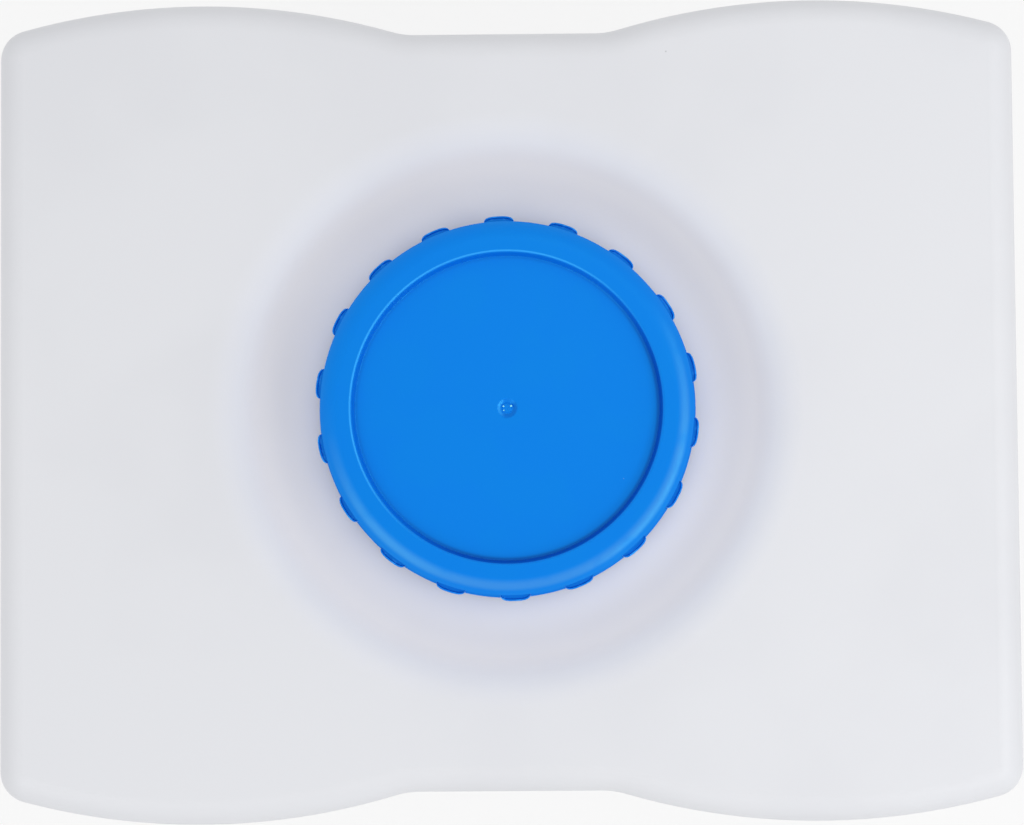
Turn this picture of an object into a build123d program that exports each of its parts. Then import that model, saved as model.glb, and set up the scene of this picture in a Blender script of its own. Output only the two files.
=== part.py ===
"""Portable water tank: a hollow waisted tank with a wide screw cap set in a round well.

Millimetres, +Z up, +X along the tank's length. The origin is at the middle of the base.
"""

import os
from math import acos, atan2, ceil, cos, pi, radians, sin, sqrt, tan

from build123d import *

# Turned arcs are cut into flats that turn no more than this
round_step = radians(21)

# Tank plan: straight ends, and two bulges on each long side with a flat waist between them
body_length = 290.0
body_depth = 234.0
body_height = 260.0
bulge_radius = 195.0
bulge_spacing = 175.0
waist_inset = 8.9
waist_blend_radius = 23.0
plan_corner_radius = 9.0
top_edge_radius = 8.5
base_edge_radius = 7.0
wall = 2.5
bevel_share = 0.6

# Base: a flat standing rim round a shallow panel that is pushed up
standing_rim_inset = 26.0
push_up_depth = 4.0
push_up_corner_radius = 14.0
push_up_bevel = 1.5

# Round well that the cap is sunk in
well_floor_radius = 72.3
well_top_radius = 80.3
well_depth = 3.0
well_foot_radius = 14.0
well_lip_radius = 20.0

# Hand grip at each end: a pocket that rises towards its back
grip_width = 106.0
grip_mouth_height = 38.0
grip_below_top = 66.0
grip_depth = 27.0
grip_rise_angle = 18.0
grip_corner_radius = 16.0
grip_mouth_bevel = 2.5

# Neck
neck_bore_radius = 42.0
neck_wall = 3.5
neck_lip_bevel = 0.7

# Coarse thread between the neck and the cap
thread_depth = 2.5
thread_pitch = 6.0
thread_turns = 1.25

# Seal ring
seal_thickness = 2.5
seal_overhang = 1.6
seal_bore_clearance = 0.3

# Screw cap
skirt_thread_clearance = 1.3
skirt_wall = 2.4
skirt_draft = 0.4
skirt_foot_proud = 1.2
skirt_foot_height = 2.4
skirt_floor_clearance = 1.5
cap_plate = 2.5
disc_recess = 3.0
disc_wall_run = 0.8
rim_width = 8.4
rim_flat_width = 4.0
rim_round_radius = 5.0
rim_land = 0.6
rim_overhang = 0.4
rim_inner_bevel = 0.4
centring_clearance = 0.5
centring_wall = 1.8
centring_length = 4.5
lug_count = 18
lug_first_angle = 12.1
lug_proud = 1.8
lug_width = 8.4
lug_face_radius = 14.0
lug_end_bevel = 0.8
lug_below_rim = 4.4
gate_dimple_radius = 2.7
gate_dimple_depth = 0.5
gate_nub_radius = 1.6
gate_nub_height = 0.35

# Levels and radii that follow from the sizes above
well_floor_level = body_height - well_depth
skirt_foot_level = well_floor_level + skirt_floor_clearance
lip_level = skirt_foot_level + thread_pitch * thread_turns
plate_underside = lip_level + seal_thickness
disc_level = plate_underside + cap_plate
rim_level = disc_level + disc_recess
neck_outer_radius = neck_bore_radius + neck_wall
thread_crest_radius = neck_outer_radius + thread_depth
skirt_inner_radius = thread_crest_radius + skirt_thread_clearance
rim_radius = skirt_inner_radius + skirt_wall
skirt_foot_radius = rim_radius + skirt_foot_proud
disc_radius = rim_radius - rim_width
rim_round_width = rim_width - rim_flat_width
rim_edge_level = rim_level - rim_round_radius + sqrt(rim_round_radius**2 - rim_round_width**2)
rim_land_level = rim_edge_level - rim_land
skirt_bead_level = skirt_foot_level + skirt_foot_height
centring_outer_radius = neck_bore_radius - centring_clearance
centring_inner_radius = centring_outer_radius - centring_wall
well_ramp_angle = atan2(well_depth, well_top_radius - well_floor_radius)


def round_points(center, radius, start, end):
    """Return the corners of an arc that is cut into flats, none turning more than round_step."""
    count = ceil(abs(end - start) / round_step)
    angles = [start + (end - start) * step / count for step in range(count + 1)]
    return [(center[0] + radius * cos(angle), center[1] + radius * sin(angle)) for angle in angles]


def make_plan(inset, corner_radius):
    """Draw the waisted outline of the tank, moved inwards by inset."""
    end_x = body_length / 2 - inset
    arc_radius = bulge_radius - inset
    blend_radius = waist_blend_radius + inset
    bulge_x = bulge_spacing / 2
    bulge_y = body_depth / 2 - bulge_radius
    waist_y = body_depth / 2 - waist_inset - inset
    rise = waist_y + blend_radius - bulge_y
    waist_x = bulge_x - sqrt((arc_radius + blend_radius) ** 2 - rise**2)
    share = arc_radius / (arc_radius + blend_radius)
    joint = (bulge_x + (waist_x - bulge_x) * share, bulge_y + rise * share)
    end_y = bulge_y + sqrt(arc_radius**2 - (end_x - bulge_x) ** 2)
    with BuildSketch() as plan:
        with BuildLine():
            flat = Line((0, waist_y), (waist_x, waist_y))
            hollow = TangentArc(flat @ 1, joint, tangent=flat % 1)
            crown = TangentArc(hollow @ 1, (end_x, end_y), tangent=hollow % 1)
            Line(crown @ 1, (end_x, 0))
            mirror(about=Plane.XZ)
            mirror(about=Plane.YZ)
        make_face()
        columns = plan.vertices().group_by(Axis.X)
        corners = [v for v in columns[0] + columns[-1] if abs(v.Y) > end_y / 2]
        fillet(corners, corner_radius)
    return plan.sketch


def make_grip_pocket(inset):
    """Make the solid of the +X hand grip's hollow, grown by inset on every side."""
    rise = radians(grip_rise_angle)
    mouth = Plane(
        origin=(body_length / 2 - inset, 0, body_height - grip_below_top + inset * tan(rise)),
        x_dir=(0, 1, 0),
        z_dir=(1, 0, 0),
    )
    height = grip_mouth_height + 2 * inset / cos(rise)
    with BuildPart() as pocket:
        with BuildSketch(mouth):
            RectangleRounded(grip_width + 2 * inset, height, grip_corner_radius + inset)
        extrude(amount=grip_depth / cos(rise), dir=Vector(-cos(rise), 0, sin(rise)))
    return pocket.part


def make_shell_form(inset):
    """Make the tank as a solid block whose skin lies inset below the real outside.

    The outside has its blends. The inside, which nobody sees, keeps the wall with plain bevels.
    """
    is_outside = inset == 0
    base_bevel = (base_edge_radius - inset) * bevel_share
    top_level = body_height - inset
    floor_level = well_floor_level - inset
    ramp_shift = inset * tan(well_ramp_angle / 2)
    if is_outside:
        foot_radius = well_floor_radius - well_foot_radius * tan(well_ramp_angle / 2)
        foot_center = (foot_radius, floor_level + well_foot_radius)
        foot = round_points(foot_center, well_foot_radius, -pi / 2, well_ramp_angle - pi / 2)
        lip_radius = well_top_radius + well_lip_radius * tan(well_ramp_angle / 2)
        lip_center = (lip_radius, top_level - well_lip_radius)
        lip = round_points(lip_center, well_lip_radius, well_ramp_angle + pi / 2, pi / 2)
    else:
        foot = [(well_floor_radius + ramp_shift, floor_level)]
        lip = [(well_top_radius + ramp_shift, top_level)]
    with BuildPart() as form:
        with BuildSketch(Plane.XY.offset(inset)):
            add(make_plan(inset, plan_corner_radius - inset))
        extrude(amount=body_height - 2 * inset)
        top_edges = form.edges().group_by(Axis.Z)[-1]
        base_edges = form.edges().group_by(Axis.Z)[0]
        if is_outside:
            fillet(top_edges, top_edge_radius)
        else:
            chamfer(top_edges, (top_edge_radius - inset) * bevel_share)
        chamfer(base_edges, base_bevel)

        # panel pushed up into the base
        with BuildSketch(Plane.XY.offset(inset)):
            add(make_plan(standing_rim_inset - inset, push_up_corner_radius + inset))
        extrude(amount=push_up_depth, mode=Mode.SUBTRACT)

        # round well with a ramped side
        with BuildSketch(Plane.XZ):
            with BuildLine():
                Polyline((0, top_level), (0, floor_level), *foot, *lip, close=True)
            make_face()
        revolve(axis=Axis.Z, mode=Mode.SUBTRACT)
        if is_outside:
            chamfer(form.faces().sort_by(Axis.Z)[0].inner_wires()[0].edges(), push_up_bevel)

        # hand grips in the two end walls
        pocket = make_grip_pocket(inset)
        add(pocket, mode=Mode.SUBTRACT)
        add(mirror(pocket, about=Plane.YZ, mode=Mode.PRIVATE), mode=Mode.SUBTRACT)
        if is_outside:
            left_end = form.faces().sort_by(Axis.X)[0]
            chamfer(left_end.inner_wires()[0].edges(), grip_mouth_bevel)
            right_end = form.faces().sort_by(Axis.X)[-1]
            chamfer(right_end.inner_wires()[0].edges(), grip_mouth_bevel)
    return form.part


# Tank body: skin, neck and hollow in one moulding
with BuildPart() as tank_body:
    add(make_shell_form(0))
    with BuildSketch(Plane.XY.offset(well_floor_level - wall)):
        Circle(neck_outer_radius)
    extrude(amount=lip_level - well_floor_level + wall)
    add(make_shell_form(wall), mode=Mode.SUBTRACT)
    with BuildSketch(Plane.XY.offset(lip_level)):
        Circle(neck_bore_radius)
    extrude(amount=-(lip_level - well_floor_level + wall), mode=Mode.SUBTRACT)
    chamfer(tank_body.edges().group_by(Axis.Z)[-1], neck_lip_bevel)
tank_body.part.label = "tank_body"

# Grip lug seen from above: a pad with a crowned face and bevelled ends, standing on the skirt
with BuildSketch() as lug_plan:
    lug_crown = rim_radius + lug_proud
    lug_side = lug_crown - lug_face_radius + sqrt(lug_face_radius**2 - (lug_width / 2) ** 2)
    lug_root = rim_radius - skirt_wall / 2
    with BuildLine():
        face_arc = ThreePointArc((lug_side, -lug_width / 2), (lug_crown, 0), (lug_side, lug_width / 2))
        Polyline(face_arc @ 1, (lug_root, lug_width / 2), (lug_root, -lug_width / 2), face_arc @ 0)
    make_face()
    chamfer(lug_plan.vertices().group_by(Axis.X)[-1], lug_end_bevel)

# Screw cap: turned profile, then the lugs round the skirt
with BuildPart() as screw_cap:
    crown_center = (disc_radius + rim_flat_width, rim_level - rim_round_radius)
    crown = round_points(crown_center, rim_round_radius, acos(rim_round_width / rim_round_radius), pi / 2)
    with BuildSketch(Plane.XZ):
        with BuildLine():
            Polyline(
                *crown,
                (disc_radius + rim_inner_bevel, rim_level),
                (disc_radius, rim_level - rim_inner_bevel),
                (disc_radius - disc_wall_run, disc_level),
                (gate_dimple_radius, disc_level),
                (gate_dimple_radius, disc_level - gate_dimple_depth),
                (gate_nub_radius, disc_level - gate_dimple_depth),
                (gate_nub_radius, disc_level - gate_dimple_depth + gate_nub_height),
                (0, disc_level - gate_dimple_depth + gate_nub_height),
                (0, plate_underside),
                (centring_inner_radius, plate_underside),
                (centring_inner_radius, lip_level - centring_length),
                (centring_outer_radius, lip_level - centring_length),
                (centring_outer_radius, plate_underside),
                (skirt_inner_radius, plate_underside),
                (skirt_inner_radius, skirt_foot_level),
                (skirt_foot_radius, skirt_foot_level),
                (skirt_foot_radius, skirt_bead_level - skirt_foot_proud + rim_overhang),
                (rim_radius + skirt_draft - rim_overhang, skirt_bead_level),
                (rim_radius - rim_overhang, rim_land_level),
                (rim_radius, rim_land_level),
                close=True,
            )
        make_face()
    revolve(axis=Axis.Z)
    with BuildSketch(Plane.XY.offset(skirt_foot_level)):
        with PolarLocations(0, lug_count, start_angle=lug_first_angle):
            add(lug_plan.sketch)
    extrude(amount=rim_level - lug_below_rim - skirt_foot_level)
screw_cap.part.label = "screw_cap"

# Seal ring between the neck's lip and the cap
with BuildPart() as cap_seal:
    with BuildSketch(Plane.XY.offset(lip_level)):
        Circle(neck_outer_radius + seal_overhang)
        Circle(centring_outer_radius + seal_bore_clearance, mode=Mode.SUBTRACT)
    extrude(amount=seal_thickness)
cap_seal.part.label = "cap_seal"

os.makedirs("parts", exist_ok=True)
export_step(tank_body.part, "parts/tank_body.step")
export_step(screw_cap.part, "parts/screw_cap.step")
export_step(cap_seal.part, "parts/cap_seal.step")

inside_litres = make_shell_form(wall).volume / 1e6
print(f"inside {inside_litres:.2f} litres, rim at {rim_level:.1f} mm, rim diameter {2 * rim_radius:.1f} mm")
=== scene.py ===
"""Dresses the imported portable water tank: moulded body, screw cap, seal, finishes, studio and camera.

Lengths are in metres, in the frame's own axes: +X along the tank, +Z up through the screw cap.
"""

import logging
from collections.abc import Mapping, Sequence
from dataclasses import dataclass
from enum import Enum
from math import acos, atan2, cos, hypot, pi, radians, sin, sqrt, tan
from typing import Any

import bmesh
import bpy
from bmesh.types import BMEdge, BMFace, BMVert
from mathutils import Matrix, Vector


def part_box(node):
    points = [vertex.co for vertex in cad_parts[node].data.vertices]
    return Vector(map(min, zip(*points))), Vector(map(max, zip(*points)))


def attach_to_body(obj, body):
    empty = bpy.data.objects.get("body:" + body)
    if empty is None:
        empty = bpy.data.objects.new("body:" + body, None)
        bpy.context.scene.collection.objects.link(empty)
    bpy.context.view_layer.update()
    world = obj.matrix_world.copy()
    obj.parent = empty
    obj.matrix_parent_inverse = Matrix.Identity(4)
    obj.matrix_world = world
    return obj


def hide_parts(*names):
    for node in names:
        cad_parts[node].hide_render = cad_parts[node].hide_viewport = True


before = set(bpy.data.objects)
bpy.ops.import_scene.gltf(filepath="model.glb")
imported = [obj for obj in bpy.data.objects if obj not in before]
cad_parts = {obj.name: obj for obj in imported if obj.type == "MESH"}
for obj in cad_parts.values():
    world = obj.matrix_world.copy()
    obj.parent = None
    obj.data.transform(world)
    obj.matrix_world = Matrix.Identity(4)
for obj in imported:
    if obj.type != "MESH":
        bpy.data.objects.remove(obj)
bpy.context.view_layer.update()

LOG = logging.getLogger("water_tank")

MM = 0.001
WELD_DISTANCE = 1e-6
LEVEL_TOLERANCE = 2e-6
TURN_STEPS = 144
THREAD_PITCH = 6 * MM
SHARP_ANGLE = radians(38)

Color = tuple[float, float, float]
Point = tuple[float, float]


class Piece(Enum):
    """The pieces that the scene makes, by name."""

    BODY = "moulded_tank"
    CAP = "moulded_cap"
    SEAL = "moulded_seal"


# Shader maths


class Link:
    """A shader socket that takes part in Python arithmetic."""

    def __init__(self, graph: "Graph", socket: bpy.types.NodeSocket | None) -> None:
        """Wrap a socket of a graph.

        Args:
            graph: the graph that the socket belongs to.
            socket: the output socket to wrap, or None for a node that has none.
        """
        self.graph = graph
        self.socket = socket

    def _math(self, operation: str, first: Any, second: Any, clamp: bool = False) -> "Link":
        """Add one Math node for two values and return its result."""
        return self.graph.add("ShaderNodeMath", {0: first, 1: second}, operation=operation, use_clamp=clamp)

    def __add__(self, other: Any) -> "Link":
        """Return self + other."""
        return self._math("ADD", self, other)

    def __radd__(self, other: Any) -> "Link":
        """Return other + self."""
        return self._math("ADD", other, self)

    def __sub__(self, other: Any) -> "Link":
        """Return self - other."""
        return self._math("SUBTRACT", self, other)

    def __rsub__(self, other: Any) -> "Link":
        """Return other - self."""
        return self._math("SUBTRACT", other, self)

    def __mul__(self, other: Any) -> "Link":
        """Return self * other."""
        return self._math("MULTIPLY", self, other)

    def __rmul__(self, other: Any) -> "Link":
        """Return other * self."""
        return self._math("MULTIPLY", other, self)

    def __truediv__(self, other: Any) -> "Link":
        """Return self / other."""
        return self._math("DIVIDE", self, other)

    def __pow__(self, other: Any) -> "Link":
        """Return self ** other."""
        return self._math("POWER", self, other)

    def above(self, limit: float) -> "Link":
        """Return 1 where the value is above the limit, and else 0."""
        return self._math("GREATER_THAN", self, limit)

    def larger(self, other: Any) -> "Link":
        """Return the larger of the two values."""
        return self._math("MAXIMUM", self, other)

    def ramp(self, start: float, end: float) -> "Link":
        """Return a soft step: 0 at the start value, 1 at the end value.

        Args:
            start: the value where the step begins.
            end: the value where the step is done; it may lie below the start.

        Returns:
            The clamped and smoothed share.
        """
        share = self._math("MULTIPLY", self - start, 1 / (end - start), clamp=True)
        return share * share * (3 - 2 * share)


class Graph:
    """The node tree of one finish, with one method that makes any node."""

    def __init__(self, name: str) -> None:
        """Start an empty material.

        Args:
            name: the material's name.
        """
        self.material = bpy.data.materials.new(name)
        self.material.use_nodes = True
        self.tree = self.material.node_tree
        self.tree.nodes.clear()

    def add(self, kind: str, inputs: Mapping[int | str, Any] | None = None, output: int | str = 0,
            **settings: Any) -> Link:
        """Make a node, set its options and then feed its sockets.

        Args:
            kind: the node's type name.
            inputs: socket name or number to a number, a colour, a vector or a Link.
            output: the name or number of the socket to return.
            **settings: the node's own options, such as an operation.

        Returns:
            The chosen output.
        """
        node = self.tree.nodes.new(kind)
        for name, value in settings.items():
            setattr(node, name, value)
        for name, value in (inputs or {}).items():
            socket = node.inputs[name]
            if isinstance(value, Link):
                self.tree.links.new(value.socket, socket)
            elif socket.type == "RGBA" and len(value) == 3:
                socket.default_value = (*value, 1.0)
            else:
                socket.default_value = value
        return Link(self, node.outputs[output] if node.outputs else None)

    def blend(self, share: Any, first: Any, second: Any, mode: str = "MIX") -> Link:
        """Mix two colours by a share of the second."""
        return self.add("ShaderNodeMix", {0: share, 6: first, 7: second}, output=2, data_type="RGBA",
                        blend_type=mode)

    def place(self) -> Link:
        """Return the point on the piece, in metres in its own frame."""
        return self.add("ShaderNodeTexCoord", output="Object")

    def axes(self, where: Link) -> tuple[Link, Link, Link, Link]:
        """Return a point's x, y and z, and its distance from the vertical axis."""
        x, y, z = (self.add("ShaderNodeSeparateXYZ", {0: where}, output=name) for name in "XYZ")
        return x, y, z, (x * x + y * y) ** 0.5

    def noise(self, where: Link, grain: float, detail: float = 2.0) -> Link:
        """Return a cloudy noise around 0.5.

        Args:
            where: the point to read it at.
            grain: the size of one cloud, in metres.
            detail: how many finer layers it has.

        Returns:
            The noise value.
        """
        return self.add("ShaderNodeTexNoise", {"Vector": where, "Scale": 1 / grain, "Detail": detail})

    def specks(self, where: Link, spacing: float, size: float) -> Link:
        """Return 1 on small scattered specks, 0 between them and a soft step over their outer half.

        Args:
            where: the point to read it at.
            spacing: the mean distance between specks, in metres.
            size: a speck's radius, in metres.

        Returns:
            The mask of the specks.
        """
        inputs = {"Vector": where, "Scale": 1 / spacing}
        distance = self.add("ShaderNodeTexVoronoi", inputs, output="Distance")
        edge = size / spacing
        return distance.ramp(edge, edge / 2)

    def bump(self, height: Link, depth: float, under: Link | None = None) -> Link:
        """Turn a height of 0 to 1 into a normal.

        Args:
            height: the height value.
            depth: how deep one unit of it is, in metres.
            under: a normal that it lies on.

        Returns:
            The new normal.
        """
        inputs = {"Height": height, "Distance": depth, "Strength": 1.0}
        if under is not None:
            inputs["Normal"] = under
        return self.add("ShaderNodeBump", inputs)

    def surface(self, inputs: Mapping[str, Any]) -> bpy.types.Material:
        """Close the material with a Principled shader.

        Args:
            inputs: what the shader's sockets take.

        Returns:
            The finished material.
        """
        self.close(self.add("ShaderNodeBsdfPrincipled", inputs))
        return self.material

    def close(self, shader: Link) -> None:
        """Join a shader to the material's output."""
        self.add("ShaderNodeOutputMaterial", {"Surface": shader})


# Finishes


@dataclass(frozen=True)
class NaturalPolyethylene:
    """The tank's satin, milky plastic, with painted light and shade in its well: lighter by the neck,
    darker on the floor, most on its +X side, and lighter and bluer on the ramp.
    """

    face_color: Color = (0.77, 0.779, 0.812)
    # Painted light and shade in the well: the neck and the floor by it are lighter, the floor is darker,
    # most on its +X side, and the ramp is lighter and bluer.
    neck_painted_light_color: Color = (0.825, 0.815, 0.835)
    floor_left_color: Color = (0.767, 0.763, 0.802)
    floor_right_painted_shade_color: Color = (0.682, 0.679, 0.72)
    ramp_painted_light_color: Color = (0.788, 0.797, 0.833)
    cloud_color: Color = (0.95, 0.95, 0.955)
    speck_color: Color = (0.33, 0.33, 0.35)
    floor_zone: Point = (56 * MM, 66 * MM)
    side_zone: Point = (70.5 * MM, 77 * MM)
    face_zone: Point = (78.5 * MM, 86 * MM)
    top_zone: Point = (245 * MM, 250 * MM)
    cloud_grain: float = 60 * MM
    cloud_zone: Point = (0.42, 0.68)
    cloud_share: float = 0.5
    speck_spacing: float = 17 * MM
    speck_size: float = 0.32 * MM
    speck_patch: float = 23 * MM
    speck_limit: float = 0.55
    speck_share: float = 0.5
    wave_grain: float = 45 * MM
    wave_depth: float = 0.25 * MM
    grain: float = 0.9 * MM
    grain_depth: float = 0.012 * MM
    roughness: float = 0.42
    roughness_grain: float = 9 * MM
    roughness_span: float = 0.12
    refraction: float = 1.5
    shine: float = 0.4

    def material(self) -> bpy.types.Material:
        """Make the material.

        Returns:
            The finished material.
        """
        graph = Graph("natural_polyethylene")
        where = graph.place()
        x, _, z, radius = graph.axes(where)
        # Painted shade on the well's floor, darker towards +X where the ramp shades it; painted light by
        # the neck and on the ramp, which is also bluer.
        floor = graph.blend(x / radius * 0.5 + 0.5, self.floor_left_color, self.floor_right_painted_shade_color)
        color = graph.blend(radius.ramp(*self.floor_zone), self.neck_painted_light_color, floor)
        color = graph.blend(radius.ramp(*self.side_zone), color, self.ramp_painted_light_color)
        color = graph.blend(radius.ramp(*self.face_zone), color, self.face_color)
        color = graph.blend(z.ramp(*self.top_zone), self.face_color, color)
        clouds = graph.noise(where, self.cloud_grain, detail=3).ramp(*self.cloud_zone)
        color = graph.blend(clouds * self.cloud_share, color, self.cloud_color, "MULTIPLY")
        specks = graph.specks(where, self.speck_spacing, self.speck_size)
        specks = specks * graph.noise(where, self.speck_patch).above(self.speck_limit)
        color = graph.blend(specks * self.speck_share, color, self.speck_color)
        normal = graph.bump(graph.noise(where, self.wave_grain, detail=1), self.wave_depth)
        normal = graph.bump(graph.noise(where, self.grain), self.grain_depth, normal)
        patches = graph.noise(where, self.roughness_grain) - 0.5
        return graph.surface({
            "Base Color": color,
            "Roughness": self.roughness + patches * self.roughness_span,
            "Normal": normal,
            "IOR": self.refraction,
            "Specular IOR Level": self.shine,
        })


@dataclass(frozen=True)
class PaintedLightRing:
    """A ring round the axis where light or shade is painted, all round or on the side that it faces.

    rise and fall hold the radii where it is nothing and where it is full, at its inner and its outer edge.
    side holds the same for how far a point lies towards the facing direction. share is the strength where
    it is full, and least is added all round.
    """

    rise: Point
    fall: Point
    facing: Point | None = None
    side: Point = (0.0, 1.0)
    share: float = 1.0
    least: float = 0.0

    def mask(self, x: Link, y: Link, radius: Link) -> Link:
        """Work out how strongly the ring shows.

        Args:
            x: the point's place along the tank.
            y: its place across the tank.
            radius: its distance from the axis.

        Returns:
            The ring's mask.
        """
        ring = radius.ramp(*self.rise) * radius.ramp(*self.fall)
        if self.facing is None:
            return ring * self.share
        towards = (x * self.facing[0] + y * self.facing[1]) / radius
        return ring * (towards.ramp(*self.side) * self.share + self.least)


@dataclass(frozen=True)
class BluePlastic:
    """The cap's semi-gloss blue plastic, with faint flow clouds and dust, and with painted highlights,
    glints and shade.
    """

    color: Color = (0.0005, 0.187, 0.80)
    flow_color: Color = (0.0005, 0.197, 0.785)
    flow_grain: float = 14 * MM
    flow_zone: Point = (0.4, 0.65)
    flow_share: float = 0.5
    dust_color: Color = (0.35, 0.55, 0.85)
    dust_spacing: float = 9 * MM
    dust_size: float = 0.18 * MM
    dust_patch: float = 15 * MM
    dust_limit: float = 0.56
    dust_share: float = 0.5
    gloss_color: Color = (0.10, 0.88, 1.0)
    # Painted glints in cyan-white on the tops of the gate's drops.
    drop_glint_color: Color = (0.33, 0.93, 1.0)
    drop_glint_level: float = 270.88 * MM
    drop_glint_radius: float = 1.9 * MM
    drop_glint_fade: float = 0.2 * MM
    top_level: float = 270 * MM
    # Painted highlights: a pale line on the rim's inner edge and a crescent on the gate's edge, on the
    # sides that face the lamps. The same colour also paints the lugs' glints.
    painted_highlight_color: Color = (0.03, 0.345, 0.96)
    rim_edge_highlight: PaintedLightRing = PaintedLightRing((43.1 * MM, 43.25 * MM), (43.7 * MM, 43.5 * MM),
                                  facing=(-1, 1), side=(-0.4, 0.8))
    gate_edge_highlight: PaintedLightRing = PaintedLightRing((1.8 * MM, 2.05 * MM), (2.75 * MM, 2.45 * MM),
                                   facing=(-1, 0), side=(0.2, 0.8), share=0.6)
    # Painted shade in the disc's corner at the foot of the rim's wall and in the gate's dimple, strongest
    # on the +X, -Y side where the wall shades it from the key lamp.
    painted_shade_color: Color = (0.0003, 0.07, 0.50)
    disc_corner_shade: PaintedLightRing = PaintedLightRing((40.9 * MM, 41.9 * MM), (43.05 * MM, 42.85 * MM),
                                    facing=(1, -1), side=(-0.3, 0.9), share=0.75, least=0.2)
    gate_dimple_shade: PaintedLightRing = PaintedLightRing((1.4 * MM, 1.9 * MM), (3.2 * MM, 2.6 * MM),
                                    facing=(1, -1), side=(-0.2, 0.9), share=0.4)
    # Painted highlight on the crown, paler in patches, on the side towards the key lamp.
    crown_highlight_color: Color = (0.08, 0.30, 0.77)
    crown_highlight: PaintedLightRing = PaintedLightRing((46.9 * MM, 48.9 * MM), (50.9 * MM, 49.5 * MM),
                                    facing=(0.3, -1), side=(-0.4, 0.6), share=0.5)
    crown_highlight_grain: float = 11 * MM
    crown_highlight_zone: Point = (0.2, 0.5)
    # Painted glints: pale spots on the lugs' tops.
    lug_glints: PaintedLightRing = PaintedLightRing((52.3 * MM, 52.5 * MM), (60 * MM, 59 * MM), share=0.7)
    lug_level: float = 268.6 * MM
    lug_glint_grain: float = 2.4 * MM
    lug_glint_zone: Point = (0.56, 0.64)
    grain: float = 0.55 * MM
    grain_depth: float = 0.006 * MM
    roughness: float = 0.30
    scuff_grain: float = 6 * MM
    scuff_span: float = 0.06
    refraction: float = 1.49
    shine: float = 0.85

    def material(self) -> bpy.types.Material:
        """Make the material.

        Returns:
            The finished material.
        """
        graph = Graph("blue_plastic")
        where = graph.place()
        flow = graph.noise(where, self.flow_grain).ramp(*self.flow_zone)
        color = graph.blend(flow * self.flow_share, self.color, self.flow_color)
        dust = graph.specks(where, self.dust_spacing, self.dust_size)
        dust = dust * graph.noise(where, self.dust_patch).above(self.dust_limit)
        color = graph.blend(dust * self.dust_share, color, self.dust_color)
        # Painted highlights, glints and shade are laid over the plastic's colour here.
        color = self._paint_light(graph, where, color)
        scuffs = graph.noise(where, self.scuff_grain, detail=1) - 0.5
        return graph.surface({
            "Base Color": color,
            "Roughness": self.roughness + scuffs * self.scuff_span,
            "Normal": graph.bump(graph.noise(where, self.grain), self.grain_depth),
            "IOR": self.refraction,
            "Specular IOR Level": self.shine,
            "Specular Tint": self.gloss_color,
        })

    def _paint_light(self, graph: Graph, where: Link, color: Link) -> Link:
        """Lay painted highlights on the rim's and the gate's edges, painted shade in the disc's corner and
        the gate's dimple, a painted highlight on the crown and painted glints on the lugs and the gate's
        drops over the plastic's colour.

        Args:
            graph: the finish's node tree.
            where: the point on the piece.
            color: the colour of the clean plastic.

        Returns:
            The colour with the painted light and shade.
        """
        x, y, z, radius = graph.axes(where)
        top = z.above(self.top_level)
        # Painted highlights on the rim's inner edge and on the gate's edge.
        highlit = self.rim_edge_highlight.mask(x, y, radius) + self.gate_edge_highlight.mask(x, y, radius)
        color = graph.blend(highlit * top, color, self.painted_highlight_color)
        # Painted shade in the disc's corner and in the gate's dimple.
        shaded = self.disc_corner_shade.mask(x, y, radius) + self.gate_dimple_shade.mask(x, y, radius)
        color = graph.blend(shaded * top, color, self.painted_shade_color)
        # Painted highlight on the crown, in patches.
        patches = graph.noise(where, self.crown_highlight_grain).ramp(*self.crown_highlight_zone)
        color = graph.blend(self.crown_highlight.mask(x, y, radius) * patches * top, color, self.crown_highlight_color)
        # Painted glints on the lugs' tops.
        glinting = graph.noise(where, self.lug_glint_grain, detail=1).ramp(*self.lug_glint_zone)
        glinting = self.lug_glints.mask(x, y, radius) * glinting * z.above(self.lug_level)
        color = graph.blend(glinting, color, self.painted_highlight_color)
        # Painted glints on the drops' tops.
        drop_glints = z.above(self.drop_glint_level) * radius.ramp(self.drop_glint_radius, self.drop_glint_radius - self.drop_glint_fade)
        return graph.blend(drop_glints, color, self.drop_glint_color)


@dataclass(frozen=True)
class SealRubber:
    """The seal's matt black rubber with a dusty bloom."""

    color: Color = (0.025, 0.025, 0.027)
    bloom_color: Color = (0.07, 0.07, 0.072)
    bloom_grain: float = 3 * MM
    bloom_zone: Point = (0.45, 0.7)
    roughness: float = 0.72
    roughness_grain: float = 1.5 * MM
    roughness_span: float = 0.2
    grain: float = 0.4 * MM
    grain_depth: float = 0.01 * MM
    refraction: float = 1.5

    def material(self) -> bpy.types.Material:
        """Make the material.

        Returns:
            The finished material.
        """
        graph = Graph("seal_rubber")
        where = graph.place()
        bloom = graph.noise(where, self.bloom_grain, detail=3).ramp(*self.bloom_zone)
        patches = graph.noise(where, self.roughness_grain) - 0.5
        return graph.surface({
            "Base Color": graph.blend(bloom, self.color, self.bloom_color),
            "Roughness": self.roughness + patches * self.roughness_span,
            "Normal": graph.bump(graph.noise(where, self.grain), self.grain_depth),
            "IOR": self.refraction,
        })


# Mesh building


@dataclass(frozen=True)
class Corner:
    """A corner of a profile in metres, with the radius that rounds it and the steps of its arc."""

    across: float
    up: float
    radius: float = 0.0
    steps: int = 4


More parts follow.
